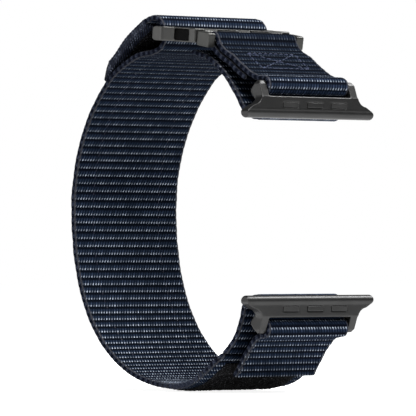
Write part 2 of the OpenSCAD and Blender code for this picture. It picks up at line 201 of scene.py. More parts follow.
class Tree:
    """Short names for a material's nodes. A socket or a number goes in, and a socket comes out."""

    def __init__(self, name, **settings):
        self.material = bpy.data.materials.new(name)
        self.material.use_nodes = True
        self.tree = self.material.node_tree
        self.shader = self.tree.nodes["Principled BSDF"]
        for socket, value in settings.items():
            self.set(socket.replace("_", " "), value)

    def set(self, socket, value):
        names = {"Specular": "Specular IOR Level"}
        self.put(self.shader.inputs[names.get(socket, socket)], value)

    def put(self, socket, value):
        if isinstance(value, bpy.types.NodeSocket):
            self.tree.links.new(value, socket)
        elif socket.type == "RGBA" and len(value) == 3:
            socket.default_value = (*value, 1)
        else:
            socket.default_value = value

    def node(self, kind, inputs=(), **properties):
        node = self.tree.nodes.new("ShaderNode" + kind)
        for name, value in properties.items():
            setattr(node, name, value)
        for name, value in dict(inputs).items():
            self.put(node.inputs[name], value)
        return node

    def math(self, operation, a, b=0.0):
        node = self.node("Math", operation=operation)
        self.put(node.inputs[0], a)
        self.put(node.inputs[1], b)
        return node.outputs[0]

    def times(self, first, *others):
        """The product of all the values."""
        for value in others:
            first = self.math("MULTIPLY", first, value)
        return first

    def from_middle(self, value):
        """How far value is from the middle of its whole number, 0 to 0.5."""
        return self.math("ABSOLUTE", self.math("SUBTRACT", self.math("FRACT", value), 0.5))

    def ramp(self, value, low, high, to_low=0.0, to_high=1.0):
        """value from low to high becomes to_low to to_high, smoothly."""
        node = self.node("MapRange", {"Value": value, "From Min": low, "From Max": high, "To Min": to_low,
                                      "To Max": to_high}, interpolation_type="SMOOTHSTEP")
        return node.outputs[0]

    def mix(self, factor, a, b):
        node = self.node("Mix", data_type="RGBA")
        self.put(node.inputs[0], factor)
        self.put(node.inputs[6], a)
        self.put(node.inputs[7], b)
        return node.outputs[2]

    def attribute(self, name):
        return self.node("Attribute", attribute_name=name).outputs["Fac"]

    def noise(self, scale, detail=2.0, vector=None, roughness=0.5):
        """Cloudy noise. Without a vector it lies in the object, and scale counts per metre."""
        if vector is None:
            vector = self.node("TexCoord").outputs["Object"]
        inputs = {"Vector": vector, "Scale": scale, "Detail": detail, "Roughness": roughness}
        return self.node("TexNoise", inputs).outputs["Fac"]

    def bump(self, height, distance, strength=1.0, normal=None):
        inputs = {"Height": height, "Distance": distance, "Strength": strength}
        if normal is not None:
            inputs["Normal"] = normal
        return self.node("Bump", inputs).outputs[0]


def webbing_material():
    """Navy nylon: yarns that lean over each rib, with painted highlights at the rib's brow, painted light on
    its back and painted shade under it.
    """
    t = Tree("navy_webbing")
    rib, yarn, lean, edge, gloss = (t.attribute(name) for name in ("rib", "yarn", "lean", "edge", "gloss"))
    strand = t.from_middle(yarn)                            # 0 in the middle of a yarn, 0.5 between two
    share = t.math("SUBTRACT", t.math("FRACT", rib), 0.5)
    share = t.math("ADD", t.times(share, lean), 0.5)        # 0 to 1 over a rib, from under its brow
    cell = t.node("CombineXYZ", {"X": t.math("FLOOR", yarn), "Y": t.math("FLOOR", rib)}).outputs[0]
    chance = t.node("TexWhiteNoise", {"Vector": cell}, noise_dimensions="3D").outputs["Value"]
    broad, fine = t.noise(330, 3), t.noise(4200, 3)

    # brow and back are where painted light goes on each rib: glint is a painted highlight at the brow, and the
    # strokes are painted light on the back
    brow = t.times(t.ramp(share, 0.16, 0.24), t.ramp(share, 0.52, 0.3))
    back = t.times(t.ramp(share, 0.3, 0.45), t.ramp(share, 0.98, 0.6))
    glint = t.times(brow, t.ramp(strand, 0.27, 0.13), t.ramp(chance, 0.0, 1.0, 0.35, 1.0),
                    t.ramp(broad, 0.35, 0.65, 0.7, 1.0), gloss)
    painted_lit_stroke = t.times(back, t.ramp(strand, 0.3, 0.12), t.ramp(chance, 0.0, 1.0, 0.2, 0.6),
                     t.ramp(gloss, 0.1, 0.8, 0.4, 1.0))

    # Painted shade: darker in the valley under each rib's brow
    colour = t.mix(t.ramp(share, 0.08, 0.3), (0.0011, 0.002, 0.0045), (0.0034, 0.0068, 0.014))
    colour = t.mix(t.ramp(share, 0.7, 0.97), colour, (0.0014, 0.0024, 0.0056))
    # Painted shade darkens the whole webbing where the painted light level is low
    colour = t.mix(t.ramp(gloss, 0.1, 0.6, 0.5, 0.0), colour, (0.0007, 0.0011, 0.0024))
    # Painted light: pale strokes on the lit back of each rib, then the painted highlight at its brow
    colour = t.mix(painted_lit_stroke, colour, (0.03, 0.045, 0.085))
    colour = t.mix(glint, colour, (0.35, 0.4, 0.48))
    colour = t.mix(t.ramp(fine, 0.5, 0.8, 0.0, 0.45), colour, (0.0012, 0.0018, 0.0036))
    # The grey cord beside the selvage, and the selvage itself, paler as painted light on the back of each rib
    cord = t.times(t.ramp(edge, 0.3, 0.5), t.ramp(edge, 0.95, 0.75), t.ramp(fine, 0.3, 0.6, 0.45, 1.0))
    colour = t.mix(cord, colour, (0.032, 0.033, 0.039))
    side = t.mix(t.times(back, t.ramp(fine, 0.35, 0.6)), (0.002, 0.003, 0.007), (0.028, 0.033, 0.05))
    colour = t.mix(t.ramp(edge, 0.9, 1.1), colour, side)

    t.set("Base Color", colour)
    t.set("Specular", t.ramp(glint, 0.0, 0.7, 0.02, 0.25))
    t.set("Roughness", t.ramp(glint, 0.0, 0.7, 0.85, 0.5))
    yarns = t.times(t.ramp(strand, 0.5, 0.1), t.ramp(share, 0.05, 0.3, 0.4, 1.0))
    normal = t.bump(yarns, 0.00009, 0.7)
    t.set("Normal", t.bump(fine, 0.00003, 0.5, normal))
    return t.material


def binding_material():
    """Navy edge binding: slanted ribs round the edge, grey where they catch the light."""
    t = Tree("navy_binding", Roughness=0.7, Specular=0.12)
    along, around = t.attribute("along"), t.attribute("round")
    across = t.from_middle(t.math("ADD", t.times(along, 1.15), t.times(around, 1.5)))
    dashes = t.from_middle(t.times(around, 1.4))
    fine, broad = t.noise(4200, 3), t.noise(700, 3)
    colour = t.mix(t.ramp(across, 0.45, 0.15), (0.001, 0.0014, 0.003), (0.006, 0.009, 0.021))
    speck = t.times(t.ramp(across, 0.33, 0.13), t.ramp(broad, 0.42, 0.65), t.ramp(fine, 0.35, 0.6),
                    t.ramp(dashes, 0.45, 0.25))
    t.set("Base Color", t.mix(speck, colour, (0.13, 0.15, 0.2)))
    normal = t.bump(t.ramp(across, 0.5, 0.0), 0.0001, 0.8)
    t.set("Normal", t.bump(fine, 0.00004, 0.6, normal))
    return t.material


def fuzz_material():
    """Black loop pile and hook tape."""
    t = Tree("black_fuzz", Roughness=0.95, Specular=0.12)
    fine, broad = t.noise(2900, 4, roughness=0.7), t.noise(900, 2)
    speck = t.ramp(fine, 0.55, 0.66)
    colour = t.mix(t.ramp(broad, 0.35, 0.7), (0.0007, 0.0007, 0.001), (0.0024, 0.0024, 0.003))
    t.set("Base Color", t.mix(speck, colour, (0.085, 0.085, 0.095)))
    t.set("Normal", t.bump(fine, 0.0001, 0.9))
    return t.material


def thread_material(name, dark, light):
    """Twisted sewing thread."""
    t = Tree(name, Roughness=0.55, Specular=0.3)
    coordinate = t.node("TexCoord").outputs["Object"]
    ply = {"Vector": coordinate, "Scale": 2600, "Distortion": 1.5}
    twist = t.node("TexWave", ply, bands_direction="DIAGONAL").outputs["Fac"]
    t.set("Base Color", t.mix(t.times(twist, t.noise(1500, 2)), dark, light))
    t.set("Normal", t.bump(twist, 0.00003, 0.6))
    return t.material


def tinted(colour, share):
    return tuple(c * share for c in colour)


def metal_material(name, colour, rough, wear, brushed=0.0):
    """Satin coated metal, paler where edges are rubbed. brushed is the strength of fine lines along Y."""
    t = Tree(name, Metallic=0.85, Specular=0.5)
    grain, broad, scuffs = t.noise(9000, 3), t.noise(160, 3), t.noise(1100, 5, roughness=0.65)
    pointy = t.node("NewGeometry").outputs["Pointiness"]
    rubbed = t.times(t.ramp(pointy, 0.51, 0.56), t.ramp(scuffs, 0.35, 0.65), wear)
    base = t.mix(t.ramp(broad, 0.3, 0.7), tinted(colour, 0.93), tinted(colour, 1.07))
    t.set("Base Color", t.mix(rubbed, base, tuple(min(1, c * 2.2 + 0.03) for c in colour)))
    scuffed = t.ramp(scuffs, 0.3, 0.7, rough - 0.02, rough + 0.03)
    t.set("Roughness", t.math("ADD", scuffed, t.times(grain, 0.06)))
    height = grain
    if brushed:
        coordinate = t.node("TexCoord").outputs["Object"]
        along = t.node("Mapping", {"Vector": coordinate, "Scale": (1, 0.03, 1)}).outputs[0]
        height = t.math("ADD", t.times(t.noise(12000, 2, along), brushed), grain)
    t.set("Normal", t.bump(height, 0.000012, 0.5))
    return t.material


def plastic_material(name, colour, rough, shine):
    """Matt or satin plastic with a fine grain."""
    t = Tree(name, Specular=shine)
    grain, broad = t.noise(7000, 3), t.noise(400, 3)
    t.set("Base Color", t.mix(t.ramp(broad, 0.3, 0.7), tinted(colour, 0.8), tinted(colour, 1.25)))
    t.set("Roughness", t.ramp(grain, 0.3, 0.7, rough - 0.06, rough + 0.08))
    t.set("Normal", t.bump(grain, 0.00002, 0.5))
    return t.material


WEBBING = webbing_material()
BINDING = binding_material()
FUZZ = fuzz_material()
NAVY_THREAD = thread_material("navy_thread", (0.005, 0.007, 0.018), (0.028, 0.036, 0.075))
SEAM_THREAD = thread_material("seam_thread", (0.003, 0.003, 0.011), (0.016, 0.016, 0.045))
GREY_THREAD = thread_material("grey_thread", (0.03, 0.034, 0.045), (0.14, 0.15, 0.18))
BLUE_THREAD = thread_material("blue_thread", (0.014, 0.02, 0.05), (0.07, 0.088, 0.165))
LUG_METAL = metal_material("lug_metal", (0.033, 0.033, 0.033), 0.34, 0.1)
BUCKLE_METAL = metal_material("buckle_metal", (0.064, 0.064, 0.062), 0.36, 0.3)
CLASP_METAL = metal_material("clasp_metal", (0.05, 0.05, 0.048), 0.36, 0.3)
PIN_STEEL = metal_material("pin_steel", (0.36, 0.36, 0.35), 0.3, 0.3, brushed=1.0)
INLAY = plastic_material("dark_inlay", (0.002, 0.002, 0.002), 0.65, 0.04)
PAD = plastic_material("pad_polymer", (0.013, 0.013, 0.013), 0.4, 0.3)


# ---------------------------------------------------------------- meshes

def add_mesh(name, points, faces, material, body, slot, replaces=(), **attributes):
    """An object from points in millimetres, with float attributes on them. It rides on body, unless None."""
    mesh = bpy.data.meshes.new(name)
    mesh.from_pydata((np.asarray(points, float) * MM).tolist(), [], [tuple(map(int, f)) for f in faces])
    mesh.validate()
    shape = bmesh.new()
    shape.from_mesh(mesh)
    bmesh.ops.recalc_face_normals(shape, faces=shape.faces)
    shape.to_mesh(mesh)
    shape.free()
    for key, values in attributes.items():
        layer = mesh.attributes.new(key, "FLOAT", "POINT")
        layer.data.foreach_set("value", np.asarray(values, np.float32).ravel())
    mesh.materials.append(material)
    mesh.polygons.foreach_set("use_smooth", [True] * len(mesh.polygons))
    piece = bpy.data.objects.new(name, mesh)
    bpy.context.scene.collection.objects.link(piece)
    if body:
        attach(piece, body)
    if replaces:
        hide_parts(*replaces)
    return piece


RIB_DEPTH = 0.14         # from the top of a rib down to the valley beside it
RIB_SHARES = np.array([0, 0.09, 0.22, 0.4, 0.62, 0.82])     # where a rib's rows of points lie in its pitch
SELVAGE_W = 0.5          # width of the smooth rounded edge
COLUMNS = 3              # columns of points to each yarn, on faces that are seen from near by


def hump(u, lean):
    """A rib's height, 0 to 1, at a share u of its pitch. It rises steeply at lean 1 and falls so at -1."""
    top = 0.5 - 0.14 * lean
    up = np.sin(np.clip(u / top, 0, 1) * math.pi / 2) ** 0.75
    down = np.cos(np.clip((u - top) / (1 - top), 0, 1) * math.pi / 2) ** 0.75
    return np.where(u < top, up, down)


def rib_count(start, stop, origin, tight, step=0.02):
    """Distances a little past start and stop, and how many ribs lie between origin and each."""
    run = np.arange(start - 2 * RIB, stop + 2 * RIB, step)
    density = np.full(len(run), 1 / RIB)
    for low, high, factor in tight:
        density[(run > low) & (run < high)] *= factor
    ribs = np.concatenate([[0], np.cumsum(density[:-1] * step)])
    return run, ribs + (start - origin) / RIB - np.interp(start, run, ribs)


def webbing(name, path, start, stop, half_width, lean, body, replaces, left_columns=COLUMNS, origin=0,
            seams=(), slant=None, gloss=None, tight=()):
    """A length of ribbed webbing from start to stop along a path, as one closed mesh.

    half_width, lean and the painted light level are functions of the distance. lean is which way the ribs'
    brows face,
    -1 to 1, and the painted light level is how strongly painted highlights and strokes show on the yarn; where
    it is low, painted shade darkens the webbing too. left_columns counts the columns of points to each yarn on
    the path's left face.
    A valley between ribs lies at origin. seams are the places across the strap where a line of stitches pulls
    it in.
    slant is how far the yarns lean, in yarns to a rib, where it isn't SLANT with lean's sign. tight lists the
    lengths where the ribs are closer, as (from, to, how many times).
    """
    run, ribs = rib_count(start, stop, origin, tight)
    whole = range(math.ceil(ribs[0]), math.floor(ribs[-1]))
    s = np.interp(np.concatenate([k + RIB_SHARES for k in whole]), ribs, run)
    s = np.concatenate([[start], s[(s > start + 0.03) & (s < stop - 0.03)], [stop]])
    rib = np.interp(s, run, ribs)
    centre, side = path.point(s), path.side(s)
    half, leans = (np.array([f(v) for v in s]) for f in (half_width, lean))
    # shine holds the painted light level of each row: how strong the painted highlights are, and painted shade
    # where it is low
    shine = np.array([gloss(v) for v in s]) if gloss else np.ones(len(s))
    slants = leans * SLANT if slant is None else np.full(len(s), slant)
    rise = hump(rib % 1, leans)
    knots = np.arange(start, stop + 4, 2.3)
    wobble = np.interp(s, knots, random.normal(0, 0.05, len(knots)))
    ends = np.clip(np.minimum(s - start, stop - s) / 0.35, 0, 1) ** 0.5        # cut ends are pressed thin
    flat = half - SELVAGE_W

    def yarns(y):
        return y / YARN - slants[:, None] * rib[:, None]

    def face(columns, sign):
        """One face's distances across and out, its yarns, and how near its points are to the edge."""
        count = max(4, round(2 * flat.max() / YARN * columns))
        y = np.linspace(-1, 1, count + 1)[None, :] * flat[:, None]
        edge = np.clip((np.abs(y) - (flat[:, None] - 0.3)) / 0.6, 0, 1)
        height = rise[:, None] * (1 - 0.35 * edge)
        for seam in seams:
            height = height * (1 - 0.22 * np.exp(-((y - seam) / 0.22) ** 2))
        bumps = 0.03 * np.cos(2 * math.pi * (yarns(y) - 0.5)) * height if columns >= 2 else 0
        t = HALF_T - RIB_DEPTH * (1 - height) + bumps
        return y, sign * t * ends[:, None], yarns(y), edge

    def selvage(direction):
        """The same for the rounded edge, from the left face round to the right one."""
        turn = np.radians(np.linspace(75, -75, 7))[None, :]
        y = direction * (flat[:, None] + 0.2 + (SELVAGE_W - 0.2) * np.cos(turn) + 0.05 * rise[:, None]
                         + wobble[:, None])
        t = np.sin(turn) * (0.5 + 0.05 * rise[:, None]) * ends[:, None]
        edge = np.broadcast_to(1.25 - 0.75 * np.abs(np.sin(turn)) ** 6, y.shape)
        return y, t, yarns(y), edge

    def backwards(parts):
        return [part[:, ::-1] for part in parts]

    sides = [face(left_columns, 1), selvage(1), backwards(face(COLUMNS, -1)), backwards(selvage(-1))]
    y, t, yarn, edge = (np.concatenate([parts[k] for parts in sides], 1) for k in range(4))
    x, z = (centre[:, None, k] + side[:, None, k] * t for k in (0, 1))
    rows = np.stack([x, y, z], -1)
    columns = y.shape[1]
    return add_mesh(name, *skin(rows), WEBBING, body, "webbing", replaces, gloss=np.repeat(shine, columns),
                    rib=np.repeat(rib, columns), yarn=yarn, lean=np.repeat(leans, columns), edge=edge)


def on_path(path, s, y, t):
    """3-D points at distances s along a path, y across the strap and t to the path's left."""
    s, y, t = np.broadcast_arrays(s, y, t)
    flat = path.point(s) + path.side(s) * t[..., None]
    return np.stack([flat[..., 0], y, flat[..., 1]], -1)


def skin(rows):
    """Points and faces of a closed skin over rows of points, where each row is a closed outline."""
    count, columns = rows.shape[:2]
    at = np.arange(count * columns).reshape(count, columns)
    following = np.roll(at, -1, 1)
    faces = np.stack([at[:-1], at[1:], following[1:], following[:-1]], -1).reshape(-1, 4).tolist()
    faces += [at[0].tolist(), at[-1][::-1].tolist()]
    return rows.reshape(-1, 3), faces


def tubes(lines, r, sides=5):
    """Points and faces of round threads along many lines that have the same number of points."""
    lines = np.asarray(lines, float)
    along = np.gradient(lines, axis=1)
    along /= np.linalg.norm(along, axis=-1, keepdims=True)
    u = np.cross(along, [0.34, 0.21, 0.92])
    u /= np.linalg.norm(u, axis=-1, keepdims=True)
    v = np.cross(along, u)
    turn = 2 * math.pi * np.arange(sides) / sides
    rim = np.cos(turn)[:, None] * u[:, :, None] + np.sin(turn)[:, None] * v[:, :, None]
    points = lines[:, :, None] + r * rim
    count, length = lines.shape[:2]
    at = np.arange(count * length * sides).reshape(count, length, sides)
    following = np.roll(at, -1, 2)
    faces = np.stack([at[:, :-1], at[:, 1:], following[:, 1:], following[:, :-1]], -1).reshape(-1, 4).tolist()
    faces += at[:, 0].tolist() + at[:, -1, ::-1].tolist()
    return points.reshape(-1, 3), faces


# A stitch's height at nine places along it, below 0 where it dives into the webbing
STITCH_SHAPE = np.array([-1, -0.1, 0.55, 0.9, 1, 0.9, 0.55, -0.1, -1])


def stitches(path, lines, face, pitch=1.5, share=0.74, r=0.12, rise=0.1, sink=0.4):
    """Sewing threads along lines from (s, y) to (s, y), on a path's left, or its right if face is negative."""
    runs = []
    for (s0, y0), (s1, y1) in lines:
        count = max(1, round(math.hypot(s1 - s0, y1 - y0) / pitch))
        for k in range(count):
            u = (k + 0.5 + share * np.linspace(-0.5, 0.5, 9)) / count
            wander = random.normal(0, 0.04, 2)
            lift = np.where(STITCH_SHAPE > 0, rise, sink) * STITCH_SHAPE
            s, y = s0 + (s1 - s0) * u + wander[0], y0 + (y1 - y0) * u + wander[1]
            runs.append(on_path(path, s, y, face + math.copysign(1, face) * lift))
    return tubes(runs, r)


def loops(path, s0, s1, half_w, face, high, density, r=0.045, span=(0.12, 0.3)):
    """Little standing loops of yarn, scattered over one side of a path."""
    count = round(density * (s1 - s0) * 2 * half_w)
    s, y = random.uniform(s0, s1, (count, 1)), random.uniform(-half_w, half_w, (count, 1))
    heading, half_span = random.uniform(0, 2 * math.pi, (count, 1)), random.uniform(*span, (count, 1))
    tall = high * random.uniform(0.55, 1, (count, 1))
    turn = np.linspace(0, math.pi, 6)
    lift = face + math.copysign(1, face) * (tall * np.sin(turn) - 0.08)
    return tubes(on_path(path, s + half_span * np.cos(heading) * np.cos(turn),
                         y + half_span * np.sin(heading) * np.cos(turn), lift), r, sides=3)


def felt(path, s0, s1, half_w, low, high, rough=0.07, step=0.33):
    """A backing strip between two sides of a path, with a lumpy face at high and ragged edges."""
    s = np.linspace(s0, s1, round((s1 - s0) / step) + 1)
    columns = round(2 * half_w / step)
    y = np.linspace(half_w, -half_w, columns + 1)[None, :] + random.normal(0, 0.04, (len(s), columns + 1))
    t = high + random.normal(0, rough, (len(s), columns + 1))
    t[:, [0, -1]] = (high + low) / 2
    y = np.concatenate([y, y[:, [-1, 0]]], 1)
    t = np.concatenate([t, np.full((len(s), 2), low)], 1)
    return skin(on_path(path, s[:, None], y, t))


def band(path, s0, s1, low, high, y0, y1, corner=0.35, step=0.35):
    """A strip with rounded long edges, and how far along and round each point is, in millimetres."""
    s = np.linspace(s0, s1, round((s1 - s0) / step) + 1)
    y_mid, y_half, t_mid, t_half = (y0 + y1) / 2, (y1 - y0) / 2, (low + high) / 2, (high - low) / 2
    outline = []
    for turn, sy, st in ((0, 1, 1), (90, -1, 1), (180, -1, -1), (270, 1, -1)):
        for a in np.radians(turn + np.linspace(0, 90, 6)):
            outline.append([sy * (y_half - corner) + corner * math.cos(a),
                            st * (t_half - corner) + corner * math.sin(a)])
    outline = np.array(outline)
    rounds = np.concatenate([[0], np.cumsum(np.linalg.norm(np.diff(outline, axis=0), axis=1))])
    wave = 1 + 0.03 * np.sin(s * 2 * math.pi / 1.05)[:, None]
    rows = on_path(path, s[:, None], y_mid + outline[:, 0] * wave, t_mid + outline[:, 1] * wave)
    points, faces = skin(rows)
    return points, faces, np.repeat(s, len(outline)), np.tile(rounds, len(s))


def eased(name, node, material, slot, body, voxel=0.13, rounds=6):
    """A hard CAD node with its edges rounded over, as fine machined and blasted edges are."""
    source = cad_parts[node]
    mesh = source.data.copy()
    mesh.transform(source.matrix_world)
    piece = bpy.data.objects.new(name, mesh)
    bpy.context.scene.collection.objects.link(piece)
    even = piece.modifiers.new("even", "REMESH")
    even.mode, even.voxel_size, even.use_smooth_shade = "VOXEL", voxel * MM, True
    ease = piece.modifiers.new("ease", "SMOOTH")
    ease.factor, ease.iterations = 0.5, rounds
    baked = bpy.data.meshes.new_from_object(piece.evaluated_get(bpy.context.evaluated_depsgraph_get()))
    piece.modifiers.clear()
    piece.data = baked
    baked.materials.clear()
    baked.materials.append(material)
    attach(piece, body)
    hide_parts(node)
    return piece


def constant(value):
    return lambda s: value


def steps(*pairs):
    """A function that goes straight from one (distance, value) pair to the next."""
    return lambda s: float(np.interp(s, *zip(*pairs)))


# ---------------------------------------------------------------- webbing pieces

FIRST_VALLEY = 0.9       # along the long strap, from its tongue's hinge
SEAM_Y = 9.1             # of the two lines of stitches along the long strap
LUG_WRAP_L = 4.2         # length of webbing round a lug's bar
LOWER_TIGHT, UPPER_TIGHT = 1.35, 1.5    # how many times closer the ribs lie there


def valley_before(s):
    return FIRST_VALLEY + math.floor((s - FIRST_VALLEY) / RIB) * RIB


split_at = FIRST_VALLEY + RIB   # where the long strap and the tongue's piece meet, beside the lug's bar
ring_start = valley_before(loop_path.nearest(11.4, -31.9))
fold_top = valley_before(loop_path.nearest(-12.4, 41.2))
narrow_from, wide_from = loop_path.nearest(14, -26.4), loop_path.nearest(9.2, -33.8)
bottom_at = loop_path.nearest(0, -38)
cover_at = short_path.nearest(7.35, 35.2)
lug_bar_from = short_path.nearest(UPPER_BAR_AT[0], UPPER_BAR_AT[1] + WRAP_R)


def loop_half_width(s):
    share = np.clip((s - narrow_from) / (wide_from - narrow_from), 0, 1)
    return LUG_STRAP_W / 2 + (STRAP_W - LUG_STRAP_W) / 2 * share * share * (3 - 2 * share)


def loop_lean(s):
    return float(np.clip((s - bottom_at) / 12, -1, 1))


def short_lean(s):
    return float(np.clip((s - 46) / 6, -1, 1))


# Painted light levels along the strap: low on the loop's upper part and on the cover, for painted shade and
# weak painted highlights there; highest at the loop's bottom
ring_gloss = steps(*[(loop_path.nearest(x, z), value) for x, z, value in
                     ((0, -38, 1.2), (-38, 10, 0.85), (-26, 29, 0.45), (-12, 34, 0.2), (-9, 34.7, 0.3),
                      (-7.4, 37.9, 0.62))])
short_gloss = steps((cover_at, 0.14), (cover_at + 14, 0.14), (cover_at + 16, 0.5), (cover_at + 24, 1))
webbing("lower_web", loop_path, split_at, ring_start, loop_half_width, loop_lean, "strap_loop",
        ["loop_strap"], origin=FIRST_VALLEY, tight=[(split_at, split_at + LUG_WRAP_L, LOWER_TIGHT)])
webbing("ring_web", loop_path, ring_start, fold_top, loop_half_width, loop_lean, "strap_loop", ["loop_strap"],
        left_columns=1, origin=FIRST_VALLEY, seams=(-SEAM_Y, SEAM_Y), gloss=ring_gloss)
webbing("short_web", short_path, 0, short_path.length, constant(LUG_STRAP_W / 2), short_lean, "short_band",
        ["short_strap"], slant=-0.4, tight=[(lug_bar_from, lug_bar_from + LUG_WRAP_L, UPPER_TIGHT)],
        gloss=short_gloss)


# The tail and the tongue each bend about their roots, and start on the long strap.
fold_points = loop_path.point(np.arange(fold_top, loop_path.length, 0.25))
tail_run = Path(np.concatenate([fold_points, tail_path.points]))
# The tail and the tongue get weaker painted highlights and painted light strokes
tail_web = webbing("tail_web", tail_run, 0, tail_run.length, constant(STRAP_W / 2), constant(-1), None,
                   ["tail_flap"], gloss=constant(0.6))
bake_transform(tail_web)
root_points = loop_path.point(np.arange(split_at, 0.1, -0.25))
tongue_run = Path(np.concatenate([root_points, tongue_path.points]))
tongue_web = webbing("tongue_web", tongue_run, 0, tongue_run.length, constant(LUG_STRAP_W / 2), constant(-1),
                     None, ["tongue"], slant=1, gloss=constant(0.8))
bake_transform(tongue_web)


# ---------------------------------------------------------------- pile, hook tape and binding

HOOK_R, HOOK_SPAN, HOOK_DENSITY = 0.05, (0.06, 0.14), 3.5

pile_start, pile_end = loop_path.nearest(10.3, -32.8), loop_path.nearest(-13.5, 33.8)
pile_face = HALF_T + PILE_T
add_mesh("pile_backing", *felt(loop_path, pile_start, pile_end, PILE_W / 2, HALF_T - 0.05, pile_face - 0.2),
         FUZZ, "strap_loop", "loop_pile", ["pile_panel"])
add_mesh("pile_loops", *loops(loop_path, pile_start + 0.2, pile_end - 0.2, PILE_W / 2 - 0.1, pile_face - 0.25,
                              0.3, 1.7), FUZZ, "strap_loop", "loop_pile", ["pile_panel"])

hook_from, hook_to = tail_path.nearest(-14.4, 40.45), tail_path.length
hook_face = HALF_T + HOOK_T
add_mesh("tail_hook_backing", *felt(tail_path, hook_from, hook_to, PILE_W / 2, HALF_T - 0.05,
                                    hook_face - 0.25), FUZZ, "tail", "hook_tape", ["tail_hook_patch"])
add_mesh("tail_hooks", *loops(tail_path, hook_from + 0.2, hook_to - 0.2, PILE_W / 2 - 0.2, hook_face - 0.3,
                              0.3, HOOK_DENSITY, HOOK_R, HOOK_SPAN), FUZZ, "tail", "hook_tape",
         ["tail_hook_patch"])

hook_from, hook_to = tongue_path.nearest(16.7, -31.1), tongue_path.length - 1
hook_half = LUG_STRAP_W / 2 - 1.5
add_mesh("tongue_hook_backing", *felt(tongue_path, hook_from, hook_to, hook_half, 0.05 - HALF_T,
                                      0.25 - hook_face), FUZZ, "tongue_end", "hook_tape",
         ["tongue_hook_patch"])
add_mesh("tongue_hooks", *loops(tongue_path, hook_from + 0.2, hook_to - 0.2, hook_half - 0.2, 0.3 - hook_face,
                                0.3, HOOK_DENSITY, HOOK_R, HOOK_SPAN), FUZZ, "tongue_end", "hook_tape",
         ["tongue_hook_patch"])

BINDING_W = (STRAP_W - PILE_W) / 2 - 0.3
y_in, y_out = STRAP_W / 2 - BINDING_W, STRAP_W / 2 + BINDING_OUT
for side_name, y0, y1 in (("near", -y_out, -y_in), ("far", y_in, y_out)):
    points, faces, along, rounds = band(tail_path, 0.6, tail_path.length + 0.2, -HALF_T - BINDING_OUT,
                                        HALF_T + BINDING_T, y0, y1)
    add_mesh(side_name + "_binding", points, faces, BINDING, "tail", "webbing_binding", ["tail_edge_binding"],
             along=along, round=rounds)

# The tip: the tail's end, pressed thin and lying on the pile. Beside the pile it drops onto the strap itself.
TIP_ROWS, TIP_COLUMNS = 61, 40
TIP_DROP = 0.6
tip_lie = HALF_T + PILE_T + REST_GAP
tip_under = [ring_point(a, tip_lie) for a in np.arange(129.8, 133.9, 0.5)]
tip_from = tail_path.length - 0.2
tip_root = [tail_path.point(tip_from) + t * tail_path.side(tip_from) for t in (HALF_T + HOOK_T, 0.3, -HALF_T)]
tip_outline = Path(tip_under[::-1] + tip_root + [[tip_under[-1][0] - 0.25, tip_under[-1][1] + 0.25]])
tip_rounds = np.linspace(0, tip_outline.length, TIP_COLUMNS)
tip_section = tip_outline.point(tip_rounds)
tip_centre = tip_section.mean(0)
outward = tip_section / np.array([RING_A, RING_B]) ** 2
outward /= np.linalg.norm(outward, axis=1, keepdims=True)
nearness = np.clip((ring_point(129.8, tip_lie)[1] + 0.8 - tip_section[:, 1:]) / 2.4, 0, 1)
tip_across = np.linspace(-1, 1, TIP_ROWS)
tip_rows = []
for k in tip_across:
    shrink = 1 - 0.12 * max(0, abs(k) - 0.97) / 0.03
    drop = TIP_DROP * np.clip((abs(k) * STRAP_W / 2 - PILE_W / 2) / 1.5, 0, 1)
    flat = tip_centre + (tip_section - tip_centre) * shrink - outward * nearness * drop
    across = np.full(TIP_COLUMNS, k * (STRAP_W / 2 + BINDING_OUT))
    tip_rows.append(np.stack([flat[:, 0], across, flat[:, 1]], -1))
add_mesh("tail_tip_cap", *skin(np.array(tip_rows)), BINDING, "tail", "webbing_binding", ["tail_tip"],
         along=np.repeat(tip_across * STRAP_W / 2, TIP_COLUMNS), round=np.tile(tip_rounds, TIP_ROWS))


# ---------------------------------------------------------------- sewing

cover_path = Path(smooth(COVER_RUN))
box_from, box_to, box_half = 3, cover_path.length - 1.8, 6.5
corners = [(box_from, -box_half), (box_to, -box_half), (box_from, box_half), (box_to, box_half)]
box_lines = [(corners[a], corners[b]) for a, b in ((0, 1), (2, 3), (0, 2), (1, 3), (0, 3), (2, 1))]
add_mesh("box_threads", *stitches(cover_path, box_lines, HALF_T - 0.03, r=0.1, rise=0.11), BLUE_THREAD,
         "short_band", "blue_thread", ["box_stitching"])
edge_y = LUG_STRAP_W / 2 - 0.75
edge_lines = [((2, y), (tongue_path.length - 1, y)) for y in (-edge_y, edge_y)]
add_mesh("tongue_threads", *stitches(tongue_path, edge_lines, HALF_T - 0.05, 1.2, 0.6, 0.11), GREY_THREAD,
         "tongue_end", "grey_thread", ["tongue_stitching"])
seam_lines = [((ring_start + 1, y), (pile_end, y)) for y in (-SEAM_Y, SEAM_Y)]
add_mesh("seam_threads", *stitches(loop_path, seam_lines, 0.1 - HALF_T, RIB, 0.7, 0.07, 0.06, 0.2),
         SEAM_THREAD, "strap_loop", "navy_thread")

# Bar tacks over the fold, each a row of close threads over a raised core
TACK_HALF_L, TACK_PITCH, TACK_RISE = 0.95, 0.235, 0.4
tack_at = loop_path.nearest(-11.6, 41.35)
turns = np.radians(np.linspace(200, -20, 9))
tack_lines = [on_path(loop_path, tack_at + TACK_HALF_L * np.cos(turns),
                      middle + TACK_PITCH * k + 0.09 * np.linspace(-1, 1, 9),
                      HALF_T - 0.05 + TACK_RISE * np.sin(turns))
              for middle in (-9, 9) for k in range(-5, 6)]
add_mesh("bar_tacks", *tubes(tack_lines, 0.13, 6), NAVY_THREAD, "strap_loop", "navy_thread",
         ["tail_bar_tacks"])


# ---------------------------------------------------------------- metal and polymer

